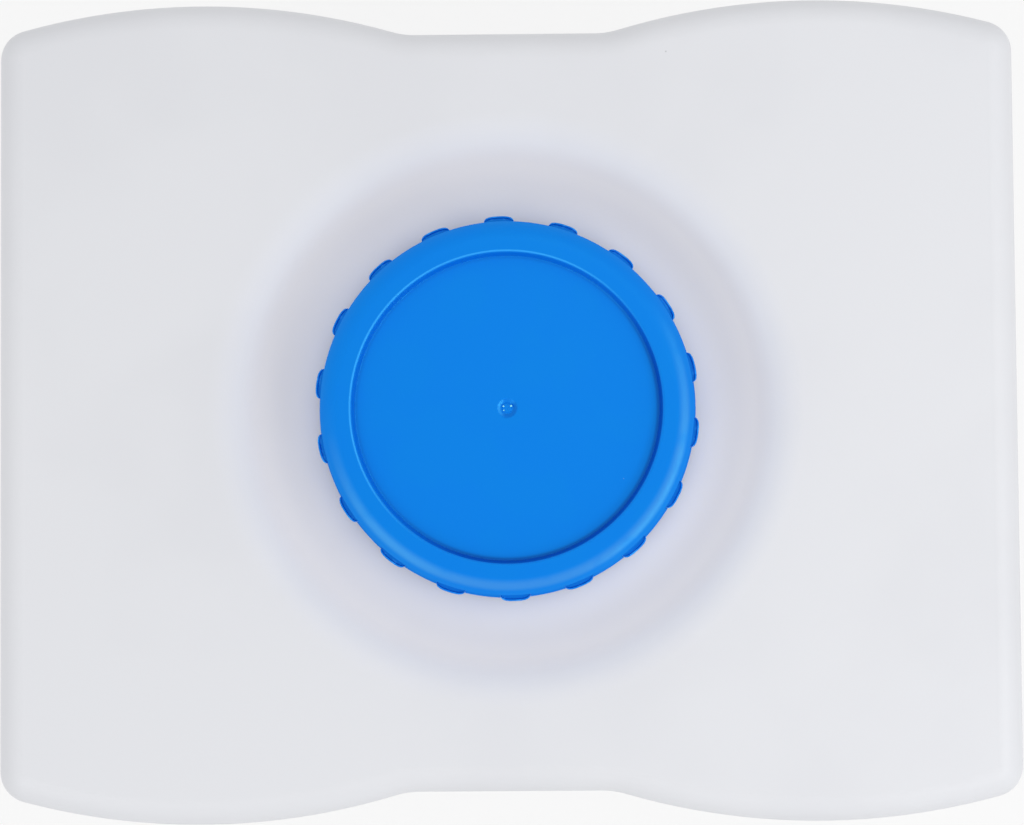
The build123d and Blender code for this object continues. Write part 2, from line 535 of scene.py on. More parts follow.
def rounded(corners: Sequence[Corner]) -> list[Point]:
    """Round a profile's corners with arcs.

    Args:
        corners: the profile's corners in order; the first and last stay sharp.

    Returns:
        The points of the rounded profile.
    """
    points = [(corners[0].across, corners[0].up)]
    for before, corner, after in zip(corners, corners[1:], corners[2:]):
        here = Vector((corner.across, corner.up))
        if corner.radius == 0:
            points.append(tuple(here))
            continue
        back = (Vector((before.across, before.up)) - here).normalized()
        on = (Vector((after.across, after.up)) - here).normalized()
        half = back.angle(on) / 2
        center = here + (back + on).normalized() * (corner.radius / sin(half))
        start = here + back * (corner.radius / tan(half)) - center
        turn = start.angle_signed(here + on * (corner.radius / tan(half)) - center)
        for step in range(corner.steps + 1):
            arm = start.copy()
            arm.rotate(Matrix.Rotation(-turn * step / corner.steps, 2))
            points.append(tuple(center + arm))
    points.append((corners[-1].across, corners[-1].up))
    return points


def of_kind(items: Sequence[Any], kind: type) -> list[Any]:
    """Return the items of one kind."""
    return [item for item in items if isinstance(item, kind)]


def with_verts(edges: Sequence[BMEdge]) -> list[Any]:
    """Return edges together with the vertices at their ends."""
    return [*{vert for edge in edges for vert in edge.verts}, *edges]


def add_object(name: str, data: bpy.types.ID) -> bpy.types.Object:
    """Make an object and link it to the scene.

    Args:
        name: the object's name.
        data: its mesh, lamp or camera.

    Returns:
        The new object.
    """
    made = bpy.data.objects.new(name, data)
    bpy.context.scene.collection.objects.link(made)
    return made


class Moulding:
    """A mesh under construction, with the operators that the pieces share."""

    def __init__(self) -> None:
        """Start an empty mesh."""
        self.bm = bmesh.new()

    def wire(self, points: Sequence[Vector], closed: bool = False) -> list[BMEdge]:
        """Join points by straight edges.

        Args:
            points: the points in order.
            closed: whether the last point is joined to the first.

        Returns:
            The new edges.
        """
        verts = [self.bm.verts.new(point) for point in points]
        ends = verts[1:] + verts[:1] if closed else verts[1:]
        return [self.bm.edges.new(pair) for pair in zip(verts, ends)]

    def profile(self, points: Sequence[Point], bearing: float = 0.0, closed: bool = False) -> list[BMEdge]:
        """Draw a profile in the upright plane at a bearing round the axis."""
        facing = Matrix.Rotation(bearing, 3, "Z")
        return self.wire([facing @ Vector((across, 0, up)) for across, up in points], closed)

    def spin(self, geom: Sequence[Any], angle: float, steps: int, center: Sequence[float] = (0, 0, 0),
             climb: float = 0.0, merge: bool = False, copies: bool = False) -> list[Any]:
        """Turn geometry about an upright axis and leave a surface, or copies, behind it.

        Args:
            geom: the vertices, edges and faces that turn.
            angle: how far they turn, counterclockwise seen from above.
            steps: how many steps they take.
            center: a point on the axis.
            climb: how far they rise with each step.
            merge: whether the last step is welded to the first.
            copies: whether each step leaves a loose copy and no surface.

        Returns:
            The geometry of the last step.
        """
        made = bmesh.ops.spin(self.bm, geom=geom, cent=center, axis=(0, 0, 1), dvec=(0, 0, climb),
                              angle=angle, steps=steps, use_merge=merge, use_duplicate=copies)
        return made["geom_last"]

    def arc(self, start: BMVert, center: Vector, angle: float, steps: int) -> BMVert:
        """Draw a flat arc from a vertex round a centre and return its last vertex."""
        return of_kind(self.spin([start], angle, steps, center=center), BMVert)[0]

    def turn(self, edges: Sequence[BMEdge]) -> None:
        """Turn a profile full circle round the axis."""
        self.spin(with_verts(edges), 2 * pi, TURN_STEPS, merge=True)

    def fill(self, edges: Sequence[BMEdge]) -> list[BMFace]:
        """Fill a flat closed loop with one face."""
        return bmesh.ops.contextual_create(self.bm, geom=list(edges))["faces"]

    def fill_between(self, outer: Sequence[BMEdge], inner: Sequence[BMEdge]) -> None:
        """Fill the flat region between two closed loops with triangles."""
        bmesh.ops.triangle_fill(self.bm, edges=[*outer, *inner], use_beauty=True, use_dissolve=False)

    def draw_out(self, edges: Sequence[BMEdge], shift: Vector) -> list[BMEdge]:
        """Extrude a loop of edges by a shift and return the new loop.

        Args:
            edges: the loop that is drawn out.
            shift: how far and which way it goes.

        Returns:
            The edges of the new loop.
        """
        made = bmesh.ops.extrude_edge_only(self.bm, edges=list(edges))["geom"]
        moved = set(of_kind(made, BMVert))
        bmesh.ops.translate(self.bm, verts=list(moved), vec=shift)
        return [edge for edge in of_kind(made, BMEdge) if moved.issuperset(edge.verts)]

    def round_edges(self, edges: Sequence[BMEdge], radius: float, steps: int) -> None:
        """Round a loop of edges."""
        bmesh.ops.bevel(self.bm, geom=list(edges), offset=radius, offset_type="OFFSET", segments=steps,
                        profile=0.5, affect="EDGES", clamp_overlap=False, material=-1)

    def loop_at(self, level: float, radius: float | None = None) -> list[BMEdge]:
        """Find the edges that lie at a height, and on a circle where a radius is given.

        Args:
            level: the height.
            radius: the circle's radius about the vertical axis, or None.

        Returns:
            The edges that were found.
        """
        found = [edge for edge in self.bm.edges
                 if all(abs(vert.co.z - level) <= LEVEL_TOLERANCE for vert in edge.verts)]
        if radius is None:
            return found
        return [edge for edge in found
                if all(abs(hypot(*vert.co.xy) - radius) <= LEVEL_TOLERANCE for vert in edge.verts)]

    def face_at(self, level: float, axis: int = 2) -> BMFace:
        """Find the largest face that lies at a level.

        Args:
            level: the level, along the axis.
            axis: 0, 1 or 2 for x, y or z.

        Returns:
            The face.
        """
        flat = [face for face in self.bm.faces
                if all(abs(vert.co[axis] - level) < LEVEL_TOLERANCE for vert in face.verts)]
        return max(flat, key=lambda face: face.calc_area())

    def open_face(self, face: BMFace) -> list[BMEdge]:
        """Take a face away and return the loop that was round it.

        Args:
            face: the face that goes.

        Returns:
            The edges that were round it.
        """
        edges = list(face.edges)
        bmesh.ops.delete(self.bm, geom=[face], context="FACES_ONLY")
        return edges

    def check(self) -> str:
        """Say how many faces there are and how many edges aren't closed."""
        loose = sum(1 for edge in self.bm.edges if len(edge.link_faces) != 2)
        return f"{len(self.bm.faces)} faces, {loose} open edges"

    def finish(self, piece: Piece, material: bpy.types.Material) -> bpy.types.Object:
        """Weld the mesh, turn its faces outwards and make the object.

        Args:
            piece: which piece it is.
            material: its finish.

        Returns:
            The new object.
        """
        bmesh.ops.remove_doubles(self.bm, verts=self.bm.verts, dist=WELD_DISTANCE)
        bmesh.ops.recalc_face_normals(self.bm, faces=self.bm.faces)
        LOG.info("%s: %s", piece.value, self.check())
        mesh = bpy.data.meshes.new(piece.value)
        for face in self.bm.faces:
            face.smooth = True
        self.bm.to_mesh(mesh)
        self.bm.free()
        mesh.set_sharp_from_angle(angle=SHARP_ANGLE)
        mesh.materials.append(material)
        made = add_object(piece.value, mesh)
        weighted = made.modifiers.new("flat_faces_stay_flat", "WEIGHTED_NORMAL")
        weighted.keep_sharp = True
        return made


@dataclass(frozen=True)
class Thread:
    """A coarse moulded thread: a trapezium that climbs round the axis, its height tied to its bearing.

    Levels count from the neck's lip, where a phase of 0 crosses the +X side.
    """

    root_radius: float
    crest_radius: float
    root_width: float
    crest_width: float
    start_level: float
    turns: float
    lip_level: float
    phase: float = 0.0
    steps_per_turn: int = 96
    run_out: float = radians(14)
    run_out_share: float = 0.8

    def add_to(self, moulding: Moulding) -> None:
        """Add the thread as a closed ridge whose ends run out into the wall.

        Args:
            moulding: the mesh that gets it.
        """
        steps = round(self.steps_per_turn * self.turns)
        half_root, half_crest = self.root_width / 2, self.crest_width / 2
        section = [(self.root_radius, -half_root), (self.crest_radius, -half_crest),
                   (self.crest_radius, half_crest), (self.root_radius, half_root)]
        start = self._turn_at(self.start_level)
        level = self.lip_level + self.start_level
        points = [(across, level + up) for across, up in section]
        first = moulding.profile(points, start, closed=True)
        angle, climb = 2 * pi * self.turns, THREAD_PITCH * self.turns
        last = of_kind(moulding.spin(with_verts(first), angle, steps, climb=climb / steps), BMEdge)
        self._run_out(moulding, first, start, level, -1)
        self._run_out(moulding, last, start + angle, level + climb, 1)

    def _turn_at(self, level: float) -> float:
        """Return the bearing at which the thread passes a level."""
        return 2 * pi * level / THREAD_PITCH + self.phase

    def _run_out(self, moulding: Moulding, loop: Sequence[BMEdge], bearing: float, level: float,
                 way: int) -> None:
        """Shrink one end of the thread into the wall.

        Args:
            moulding: the mesh that holds the thread.
            loop: the open end's edges.
            bearing: where the end is round the axis.
            level: how high the end is.
            way: 1 at the upper end and -1 at the lower one.
        """
        climb = way * THREAD_PITCH * self.run_out / (2 * pi)
        end = moulding.draw_out(loop, Vector((0, 0, climb)))
        verts = list({vert for edge in end for vert in edge.verts})
        bmesh.ops.rotate(moulding.bm, verts=verts, cent=(0, 0, 0),
                         matrix=Matrix.Rotation(way * self.run_out, 3, "Z"))
        facing = Matrix.Rotation(bearing + way * self.run_out, 3, "Z")
        tip = facing @ Vector((self.root_radius, 0, level + climb))
        for vert in verts:
            vert.co = vert.co.lerp(tip, self.run_out_share)
        moulding.fill(end)


# The tank


@dataclass(frozen=True)
class TankBody:
    """The moulded tank: waisted walls, sunken well, threaded neck, two hand grips and a raised base."""

    length: float
    depth: float
    lip_level: float
    top_level: float = 260 * MM
    bulge_radius: float = 195 * MM
    bulge_spacing: float = 175 * MM
    waist_inset: float = 8.9 * MM
    waist_blend_radius: float = 23 * MM
    waist_blend_steps: int = 6
    bulge_steps: int = 22
    plan_corner_radius: float = 9 * MM
    plan_corner_steps: int = 10
    top_edge_radius: float = 8.5 * MM
    top_edge_steps: int = 8
    base_edge_radius: float = 7 * MM
    base_edge_steps: int = 7
    wall: float = 2.5 * MM
    standing_rim_inset: float = 26 * MM
    push_up_depth: float = 4 * MM
    push_up_corner_radius: float = 14 * MM
    push_up_round: float = 1.6 * MM
    push_up_steps: int = 4
    well_floor_radius: float = 72.3 * MM
    well_top_radius: float = 80.3 * MM
    well_depth: float = 3 * MM
    well_foot_radius: float = 14 * MM
    well_lip_radius: float = 20 * MM
    flat_ring_radius: float = 93 * MM
    neck_radius: float = 45.5 * MM
    neck_foot_round: float = 1.5 * MM
    neck_lip_round: float = 0.7 * MM
    bore_radius: float = 42 * MM
    bore_foot_round: float = 1 * MM
    thread_sunk: float = 0.4 * MM
    thread_proud: float = 2.5 * MM
    grip_width: float = 106 * MM
    grip_height: float = 38 * MM
    grip_level: float = 194 * MM
    grip_depth: float = 27 * MM
    grip_rise: float = radians(18)
    grip_corner_radius: float = 16 * MM
    grip_corner_steps: int = 10
    grip_mouth_round: float = 2.6 * MM
    grip_back_round: float = 5 * MM
    grip_round_steps: int = 5
    seam_level: float = 128 * MM
    seam_half_width: float = 0.35 * MM
    seam_depth: float = 0.16 * MM

    def build(self, finish: NaturalPolyethylene) -> bpy.types.Object:
        """Build the whole tank.

        Args:
            finish: the plastic that it is made of.

        Returns:
            The tank's object.
        """
        moulding = Moulding()
        for inset in (0.0, self.wall):
            self._add_skin(moulding, inset)
        self._join_skins(moulding)
        self._thread().add_to(moulding)
        return moulding.finish(Piece.BODY, finish.material())

    def _draw_plan(self, moulding: Moulding, inset: float, corner_radius: float,
                   level: float) -> list[BMEdge]:
        """Draw the waisted outline as a closed loop.

        Args:
            moulding: the mesh that gets it.
            inset: how far it lies inside the tank's walls.
            corner_radius: the radius of its four corners.
            level: its height.

        Returns:
            The loop's edges.
        """
        bulge = Vector((self.bulge_spacing / 2, self.depth / 2 - self.bulge_radius, level))
        bulge_radius = self.bulge_radius - inset
        hollow_radius = self.waist_blend_radius + inset
        waist_y = self.depth / 2 - self.waist_inset - inset
        rise = waist_y + hollow_radius - bulge.y
        run = sqrt((bulge_radius + hollow_radius) ** 2 - rise**2)
        hollow = Vector((bulge.x - run, waist_y + hollow_radius, level))
        corner_x = self.length / 2 - inset - corner_radius
        reach = bulge_radius - corner_radius
        corner = Vector((corner_x, bulge.y + sqrt(reach**2 - (corner_x - bulge.x) ** 2), level))
        hollow_turn = atan2(run, rise)
        bulge_start = pi / 2 + hollow_turn
        bulge_end = atan2(corner.y - bulge.y, corner.x - bulge.x)

        known = set(moulding.bm.verts)
        flat = moulding.wire([Vector((0, waist_y, level)), Vector((hollow.x, waist_y, level))])
        tip = flat[0].verts[1]
        tip = moulding.arc(tip, hollow, hollow_turn, self.waist_blend_steps)
        tip = moulding.arc(tip, bulge, bulge_end - bulge_start, self.bulge_steps)
        moulding.arc(tip, corner, -bulge_end, self.plan_corner_steps)
        for mirror_axis in "XY":
            new = [vert for vert in moulding.bm.verts if vert not in known]
            edges = {edge for vert in new for edge in vert.link_edges}
            bmesh.ops.mirror(moulding.bm, geom=[*new, *edges], matrix=Matrix.Identity(4),
                             merge_dist=WELD_DISTANCE, axis=mirror_axis)
        new = [vert for vert in moulding.bm.verts if vert not in known]
        ends = [vert for vert in new if len(vert.link_edges) == 1]
        for side in (1, -1):
            moulding.bm.edges.new([vert for vert in ends if vert.co.x * side > 0])
        return list({edge for vert in new for edge in vert.link_edges})

    def _add_skin(self, moulding: Moulding, inset: float) -> None:
        """Add one skin, open where the neck goes through.

        Args:
            moulding: the mesh that gets it.
            inset: 0 for the outside, and the wall's thickness for the inside.
        """
        known = set(moulding.bm.faces)
        loop = self._draw_plan(moulding, inset, self.plan_corner_radius - inset, inset)
        base = moulding.fill(loop)
        made = bmesh.ops.extrude_face_region(moulding.bm, geom=base)["geom"]
        top_level = self.top_level - inset
        bmesh.ops.translate(moulding.bm, verts=of_kind(made, BMVert), vec=(0, 0, top_level - inset))
        moulding.round_edges(moulding.loop_at(top_level), self.top_edge_radius - inset, self.top_edge_steps)
        moulding.round_edges(moulding.loop_at(inset), self.base_edge_radius - inset, self.base_edge_steps)
        self._raise_base(moulding, inset)
        for side in (1, -1):
            self._add_grip(moulding, inset, side)
        if inset == 0:
            self._add_seam(moulding, known)

    def _raise_base(self, moulding: Moulding, inset: float) -> None:
        """Push a panel up into the base and leave a flat standing rim round it.

        Args:
            moulding: the mesh that holds the base.
            inset: how far this skin lies inside the outside.
        """
        rim = moulding.open_face(moulding.face_at(inset))
        panel = self._draw_plan(moulding, self.standing_rim_inset - inset,
                                self.push_up_corner_radius + inset, inset)
        moulding.fill_between(rim, panel)
        raised = moulding.draw_out(panel, Vector((0, 0, self.push_up_depth)))
        moulding.fill(raised)
        moulding.round_edges([*panel, *raised], self.push_up_round, self.push_up_steps)

    def _add_grip(self, moulding: Moulding, inset: float, side: int) -> None:
        """Sink a hand grip into one end wall.

        Args:
            moulding: the mesh that holds the wall.
            inset: how far this skin lies inside the outside.
            side: 1 for the +X end and -1 for the other.
        """
        wall_x = side * (self.length / 2 - inset)
        wall = moulding.open_face(moulding.face_at(wall_x, axis=0))
        half_width = self.grip_width / 2 + inset
        half_height = self.grip_height / 2 + inset / cos(self.grip_rise)
        radius = self.grip_corner_radius + inset
        middle = self.grip_level + inset * tan(self.grip_rise)
        corners = [Vector((wall_x, y * half_width, middle + z * half_height))
                   for y, z in ((-1, -1), (1, -1), (1, 1), (-1, 1))]
        sheet = moulding.fill(moulding.wire(corners, closed=True))[0]
        bmesh.ops.bevel(moulding.bm, geom=list(sheet.verts), offset=radius, segments=self.grip_corner_steps,
                        profile=0.5, affect="VERTICES", material=-1)
        mouth = moulding.open_face(moulding.face_at(wall_x, axis=0))
        moulding.fill_between(wall, mouth)
        shift = Vector((-side * self.grip_depth, 0, self.grip_depth * tan(self.grip_rise)))
        back = moulding.draw_out(mouth, shift)
        moulding.fill(back)
        if inset == 0:
            moulding.round_edges(mouth, self.grip_mouth_round, self.grip_round_steps)
            moulding.round_edges(back, self.grip_back_round, self.grip_round_steps)

    def _add_seam(self, moulding: Moulding, known: set[BMFace]) -> None:
        """Score the fine parting line round the outside of the walls.

        Args:
            moulding: the mesh that holds the walls.
            known: the faces that aren't cut.
        """
        for shift in (-self.seam_half_width, 0.0, self.seam_half_width):
            faces = [face for face in moulding.bm.faces if face not in known]
            edges = {edge for face in faces for edge in face.edges}
            verts = {vert for face in faces for vert in face.verts}
            bmesh.ops.bisect_plane(moulding.bm, geom=[*faces, *edges, *verts], dist=WELD_DISTANCE,
                                   plane_co=(0, 0, self.seam_level + shift), plane_no=(0, 0, 1))
        bmesh.ops.recalc_face_normals(moulding.bm, faces=moulding.bm.faces)
        for vert in moulding.bm.verts:
            if abs(vert.co.z - self.seam_level) < LEVEL_TOLERANCE:
                vert.co -= vert.normal * self.seam_depth

    def _join_skins(self, moulding: Moulding) -> None:
        """Join the two skins by the well, the neck and its bore, turned as one profile.

        Args:
            moulding: the mesh that holds both skins.
        """
        ramp = atan2(self.well_depth, self.well_top_radius - self.well_floor_radius)
        shift = self.wall * tan(ramp / 2)
        floor = self.top_level - self.well_depth
        under_top, under_floor = self.top_level - self.wall, floor - self.wall
        corners = [
            Corner(self.flat_ring_radius, self.top_level),
            Corner(self.well_top_radius, self.top_level, self.well_lip_radius, steps=8),
            Corner(self.well_floor_radius, floor, self.well_foot_radius, steps=8),
            Corner(self.neck_radius, floor, self.neck_foot_round),
            Corner(self.neck_radius, self.lip_level, self.neck_lip_round, steps=3),
            Corner(self.bore_radius, self.lip_level, self.neck_lip_round, steps=3),
            Corner(self.bore_radius, under_floor, self.bore_foot_round, steps=3),
            Corner(self.well_floor_radius + shift, under_floor, self.well_foot_radius + self.wall, steps=6),
            Corner(self.well_top_radius + shift, under_top, self.well_lip_radius - self.wall, steps=6),
            Corner(self.flat_ring_radius, under_top),
        ]
        moulding.turn(moulding.profile(rounded(corners)))
        for level in (self.top_level, under_top):
            ring = moulding.loop_at(level, self.flat_ring_radius)
            rim = moulding.open_face(moulding.face_at(level))
            moulding.fill_between(rim, ring)

    def _thread(self) -> Thread:
        """Describe the neck's thread."""
        return Thread(root_radius=self.neck_radius - self.thread_sunk,
                      crest_radius=self.neck_radius + self.thread_proud,
                      root_width=3.2 * MM, crest_width=1.5 * MM, turns=1.0,
                      start_level=-8.1 * MM, lip_level=self.lip_level)


# The screw cap and its seal


@dataclass(frozen=True)
class ScrewCap:
    """The screw cap: a turned shell with a recessed disc, a rounded rim, a footed skirt and grip lugs.

    One sector with one lug is turned and shaped, and then repeated round the axis.
    """

    rim_level: float
    foot_level: float
    lip_level: float
    fine_round: float = 0.15 * MM
    small_round: float = 0.3 * MM
    foot_round: float = 0.4 * MM
    inner_round: float = 0.6 * MM
    disc_radius: float = 42.95 * MM
    disc_rows: Point = (10 * MM, 36 * MM)
    disc_recess: float = 3 * MM
    disc_wall_run: float = 0.8 * MM
    disc_wall_foot_round: float = 0.35 * MM
    disc_wall_top_round: float = 1 * MM
    plate: float = 2.5 * MM
    crown_start: float = 46.2 * MM
    crown_radius: float = 8.5 * MM
    crown_steps: int = 8
    rim_radius: float = 51.7 * MM
    rim_land: float = 1.2 * MM
    rim_overhang: float = 0.4 * MM
    bead_height: float = 2.4 * MM
    bead_slope: float = 0.8 * MM
    bead_proud: float = 1.3 * MM
    skirt_inner_radius: float = 49.3 * MM
    centring_radius: float = 41.5 * MM
    centring_wall: float = 1.8 * MM
    centring_length: float = 7 * MM
    thread_sunk: float = 0.4 * MM
    thread_proud: float = 2.4 * MM
    lug_count: int = 18
    lug_first_angle: float = radians(12.1)
    lug_half_width: float = 4.2 * MM
    lug_radius: float = 53.5 * MM
    lug_below_rim: float = 4.4 * MM
    lug_edge_round: float = 0.45 * MM
    lug_edge_turns: tuple[float, ...] = (0, 10, 25, 40, 60, 80, 90)
    lug_end_turns: tuple[float, ...] = (0, 20, 38, 54, 66, 76, 84, 90)
    lug_gap_shares: tuple[float, ...] = (0.3, 0.65, 1.0)
    lug_last_row: float = 5 * MM
    lug_dish: float = 0.7 * MM
    lug_dish_run: float = 0.25 * MM
    lug_fullness: float = 3.4
    lug_row_gap: float = 0.02 * MM
    gate_depth: float = 0.6 * MM
    gate_radius: float = 2.7 * MM
    gate_slope: float = 0.95 * MM
    gate_nub_radius: float = 1.5 * MM
    gate_nub_slope: float = 0.3 * MM
    gate_nub_height: float = 0.3 * MM
    gate_nub_dip: float = 0.05 * MM
    gate_nub_round: float = 0.2 * MM
    drops: tuple[tuple[float, float, float], ...] = (
        (-0.98 * MM, 0.43 * MM, 0.34 * MM),
        (1.12 * MM, 0.5 * MM, 0.38 * MM),
        (-0.9 * MM, -0.7 * MM, 0.3 * MM),
        (0.35 * MM, -0.25 * MM, 0.21 * MM),
        (0.2 * MM, 0.75 * MM, 0.2 * MM),
    )
    pip_angles: tuple[float, ...] = (106.7, 139.2, 260.2, 298.3)
    pip_size: float = 0.3 * MM

    def build(self, finish: BluePlastic) -> bpy.types.Object:
        """Build the cap.

        Args:
            finish: the plastic that it is made of.

        Returns:
            The cap's object.
        """
        moulding = Moulding()
        self._turn_sector(moulding)
        self._raise_lugs(moulding)
        self._repeat_sector(moulding)
        self._thread().add_to(moulding)
        self._add_drops(moulding)
        return moulding.finish(Piece.CAP, finish.material())

    @property
    def disc_level(self) -> float:
        """The height of the recessed disc."""
        return self.rim_level - self.disc_recess

    @property
    def lug_top_level(self) -> float:
        """The height of the lugs' tops."""
        return self.rim_level - self.lug_below_rim

    @property
    def land_level(self) -> float:
        """The height at which the rim steps back to the skirt."""
        return self.rim_level - self.crown_radius * (1 - sin(self.crown_end)) - self.rim_land

    @property
    def crown_end(self) -> float:
        """The bearing at which the crown's arc meets the rim's radius."""
        return acos((self.rim_radius - self.crown_start) / self.crown_radius)

    @property
    def nub_level(self) -> float:
        """The height of the nub's middle in the gate mark."""
        return self.disc_level - self.gate_depth + self.gate_nub_height - self.gate_nub_dip

    @property
    def skirt_top_radius(self) -> float:
        """The skirt's outer radius under the rim."""
        return self.rim_radius - self.rim_overhang

    def _profile(self) -> list[Point]:
        """Return the cap's profile from the gate on top, over the rim and back to the axis below."""
        return rounded([*self._top_corners(), *self._skirt_corners(), *self._inner_corners()])

    def _top_corners(self) -> list[Corner]:
        """List the corners of the gate mark, the disc and the crown.

        Returns:
            The corners, from the axis outwards.
        """
        disc, dimple = self.disc_level, self.disc_level - self.gate_depth
        turns = [pi / 2 + (self.crown_end - pi / 2) * step / self.crown_steps
                 for step in range(self.crown_steps + 1)]
        crown = [Corner(self.crown_start + self.crown_radius * cos(turn),
                        self.rim_level - self.crown_radius * (1 - sin(turn))) for turn in turns]
        return [
            Corner(0, self.nub_level),
            Corner(self.gate_nub_radius - self.gate_nub_slope, dimple + self.gate_nub_height,
                   self.gate_nub_round, steps=2),
            Corner(self.gate_nub_radius, dimple - self.gate_nub_dip, self.fine_round, steps=2),
            Corner(self.gate_radius - self.gate_slope, dimple, self.small_round, steps=2),
            Corner(self.gate_radius, disc, self.foot_round, steps=3),
            *(Corner(across, disc) for across in self.disc_rows),
            Corner(self.disc_radius - self.disc_wall_run, disc, self.disc_wall_foot_round, steps=3),
            Corner(self.disc_radius, self.rim_level, self.disc_wall_top_round, steps=6),
            *crown,
        ]

    def _skirt_corners(self) -> list[Corner]:
        """List the corners of the rim's land, the drafted skirt with the lugs' rows, and the bead.

        Returns:
            The corners, from the rim down to the skirt's inside.
        """
        land, skirt_top = self.land_level, self.skirt_top_radius
        bead_level = self.foot_level + self.bead_height
        bead_radius = self.rim_radius + self.bead_proud
        drops = [-2 * self.lug_row_gap, -self.lug_row_gap]
        drops += [self.lug_edge_round * (1 - cos(radians(turn))) for turn in self.lug_edge_turns]
        levels = [self.lug_top_level - drop for drop in (*drops, self.lug_last_row)]
        draft = self.rim_overhang / (land - bead_level)
        return [
            Corner(self.rim_radius, land, self.fine_round, steps=2),
            Corner(skirt_top, land, self.fine_round, steps=2),
            *(Corner(skirt_top + draft * (land - level), level) for level in levels),
            Corner(self.rim_radius, bead_level, self.small_round, steps=2),
            Corner(bead_radius, bead_level - self.bead_slope, self.foot_round, steps=3),
            Corner(bead_radius, self.foot_level, self.small_round, steps=2),
            Corner(self.skirt_inner_radius, self.foot_level, self.small_round, steps=2),
        ]

    def _inner_corners(self) -> list[Corner]:
        """List the corners of the skirt's inside, the centring ring and the plate's underside.

        Returns:
            The corners, from the skirt inwards to the axis.
        """
        underside = self.disc_level - self.plate
        centring_foot = underside - self.centring_length
        centring_bore = self.centring_radius - self.centring_wall
        return [
            Corner(self.skirt_inner_radius, underside, self.inner_round, steps=3),
            Corner(self.centring_radius, underside, self.small_round, steps=2),
            Corner(self.centring_radius, centring_foot, self.foot_round, steps=2),
            Corner(centring_bore, centring_foot, self.foot_round, steps=2),
            Corner(centring_bore, underside, self.inner_round, steps=3),
            Corner(0, underside),
        ]

    def _turn_sector(self, moulding: Moulding) -> None:
        """Turn the profile through one lug and one gap, in uneven steps that suit the lug's ends.

        Args:
            moulding: the mesh that gets it.
        """
        half_pitch = pi / self.lug_count
        half_lug = self.lug_half_width / self.rim_radius
        ends = [sin(radians(turn)) * half_lug for turn in self.lug_end_turns]
        gap = [half_lug + (half_pitch - half_lug) * share for share in self.lug_gap_shares]
        offsets = sorted({-value for value in ends + gap} | set(ends + gap))
        geom = with_verts(moulding.profile(self._profile(), self.lug_first_angle + offsets[0]))
        for before, after in zip(offsets, offsets[1:]):
            geom = moulding.spin(geom, after - before, 1)

    def _raise_lugs(self, moulding: Moulding) -> None:
        """Raise the lug's pad out of the skirt of the first sector, with rounded edges and a dished top.

        Two rows of the skirt lie just over the pad's top. The lower one becomes the dish's floor, and the
        upper one sinks with it and stays on the skirt.

        Args:
            moulding: the mesh that holds the sector.
        """
        edge, skirt_top = self.lug_edge_round, self.skirt_top_radius
        skirt_middle = (self.skirt_inner_radius + skirt_top) / 2
        for vert in moulding.bm.verts:
            radius = hypot(vert.co.x, vert.co.y)
            drop = self.lug_top_level - vert.co.z
            row = -drop / self.lug_row_gap
            bearing = abs(atan2(vert.co.y, vert.co.x) - self.lug_first_angle)
            side = bearing * self.rim_radius / self.lug_half_width
            if radius < skirt_middle or row > 2.5 or side >= 1:
                continue
            full = (1 - side**self.lug_fullness) ** (1 / self.lug_fullness)
            proud = (self.lug_radius - skirt_top) * full
            if row > 0.5:
                proud = max(0.0, proud - edge - self.lug_dish_run) if row < 1.5 else 0.0
                vert.co.z -= self.lug_dish * full
            elif drop < edge:
                proud -= min(proud, edge) * (1 - sqrt(1 - (1 - max(drop, 0.0) / edge) ** 2))
            vert.co.xy *= max(radius, skirt_top + proud) / radius

    def _repeat_sector(self, moulding: Moulding) -> None:
        """Repeat the sector round the axis and weld the copies.

        Args:
            moulding: the mesh that holds the sector.
        """
        pitch = 2 * pi / self.lug_count
        geom = [*moulding.bm.verts, *moulding.bm.edges, *moulding.bm.faces]
        moulding.spin(geom, 2 * pi - pitch, self.lug_count - 1, copies=True)
        bmesh.ops.remove_doubles(moulding.bm, verts=moulding.bm.verts, dist=WELD_DISTANCE)

    def _thread(self) -> Thread:
        """Describe the thread inside the skirt, which runs half a pitch below the neck's."""
        return Thread(root_radius=self.skirt_inner_radius + self.thread_sunk,
                      crest_radius=self.skirt_inner_radius - self.thread_proud,
                      root_width=2.4 * MM, crest_width=1.2 * MM, turns=1.0, phase=pi,
                      start_level=-7 * MM, lip_level=self.lip_level)

    def _add_drops(self, moulding: Moulding) -> None:
        """Add the torn plastic's drops on the gate, and the tiny pips at the foot of the rim's wall.

        Args:
            moulding: the mesh that gets them.
        """
        places = [(Vector((x, y, self.nub_level)), size) for x, y, size in self.drops]
        wall_foot = Vector((self.disc_radius - self.disc_wall_run, 0, self.disc_level))
        places += [(Matrix.Rotation(radians(angle), 3, "Z") @ wall_foot, self.pip_size)
                   for angle in self.pip_angles]
        for place, size in places:
            bmesh.ops.create_icosphere(moulding.bm, subdivisions=2, radius=size,
                                       matrix=Matrix.Translation(place))


